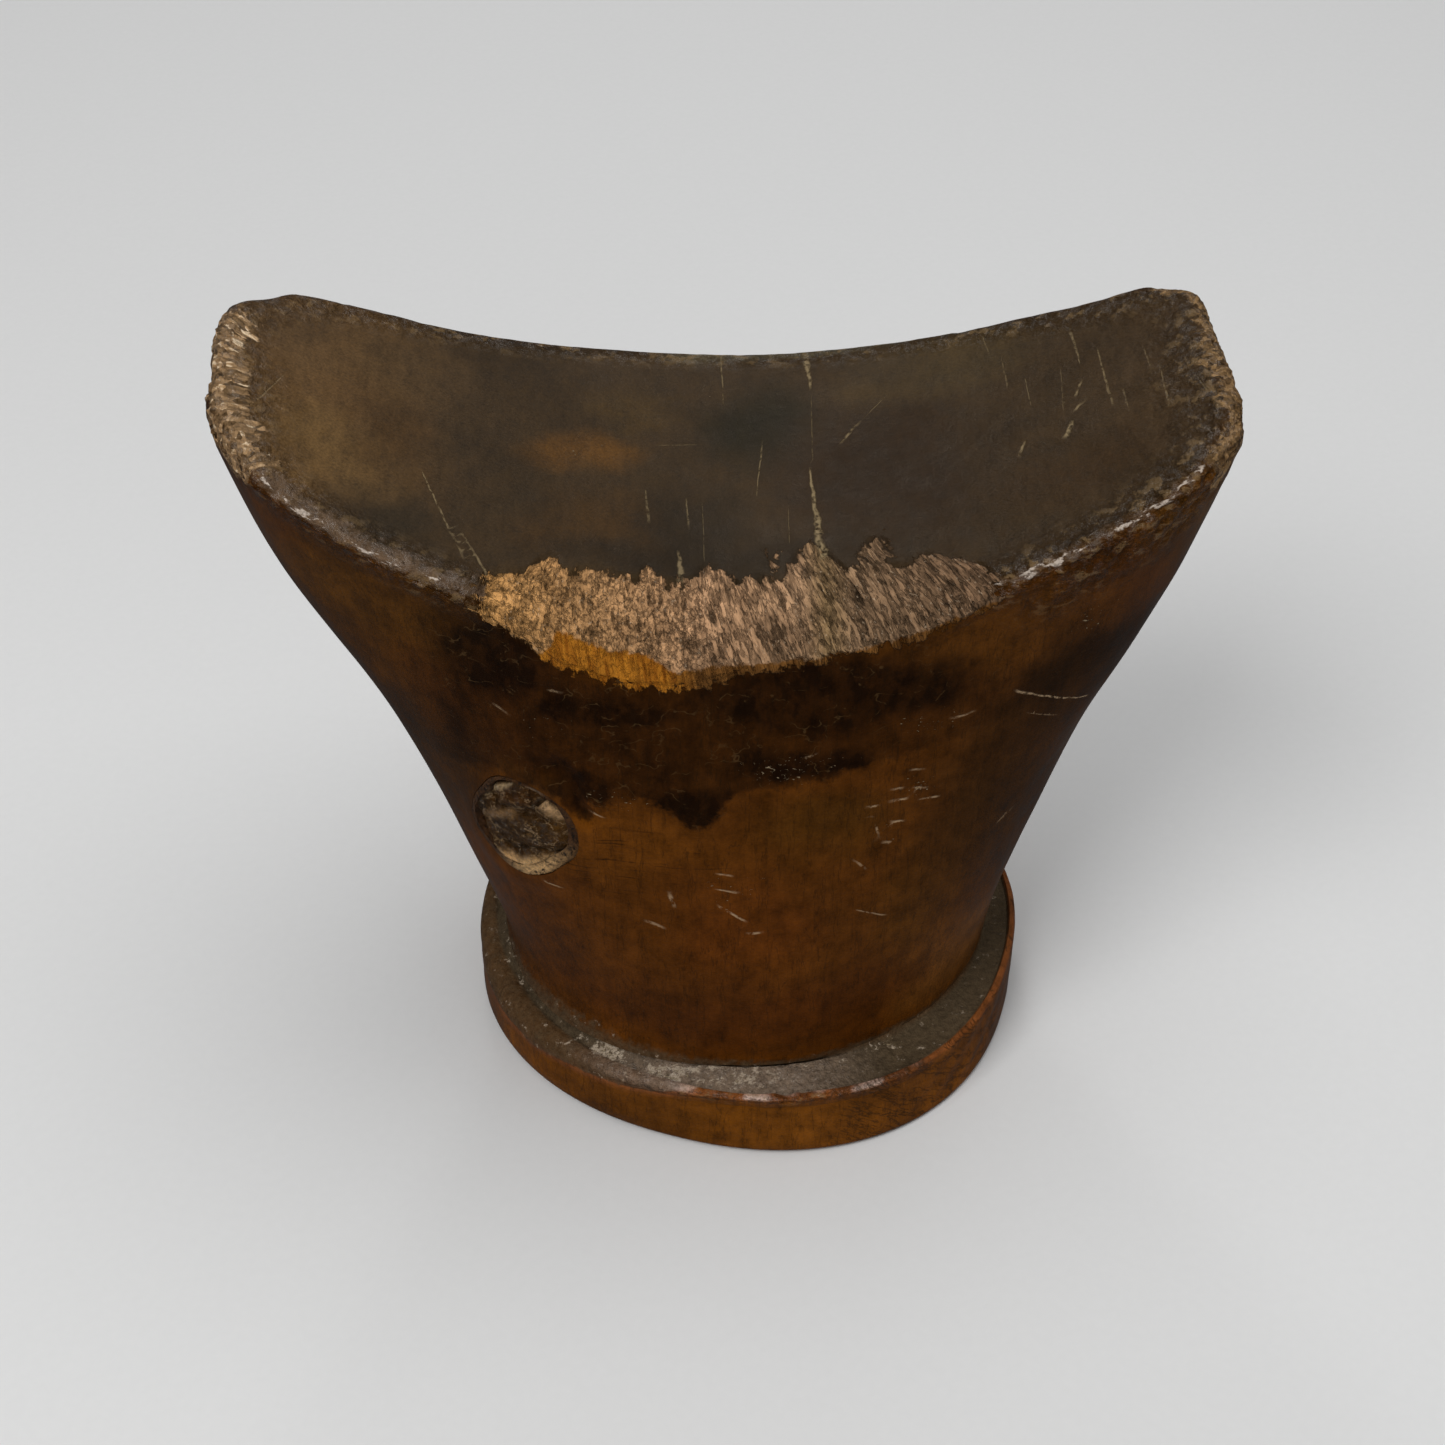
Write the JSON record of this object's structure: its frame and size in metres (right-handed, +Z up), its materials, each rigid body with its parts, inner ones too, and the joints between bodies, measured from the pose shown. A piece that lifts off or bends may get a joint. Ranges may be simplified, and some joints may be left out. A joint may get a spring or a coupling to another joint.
{
  "type": "headrest",
  "caption": "Carved wooden neck rest: an oval foot, a solid body that flares upwards and a curved dish on top that holds a sleeper's neck.",
  "frame": {"origin": "on the ground, under the middle of the dish", "axes": "+X along the dish, to the right as seen from the front, -Y to the front with the worn lip, +Z up"},
  "size_m": [0.1928, 0.1142, 0.166],
  "materials": {
    "carved_wood": "dark patina polished by long use, raw wood where the lip and ends are worn",
    "knot_wood": "dull, weathered",
    "knot_bark": "dry, crumbled"
  },
  "bodies": {
    "root": {"carved_block": "carved_wood", "branch_knot": "knot_wood", "knot_bark": "knot_bark"}
  },
  "joints": []
}
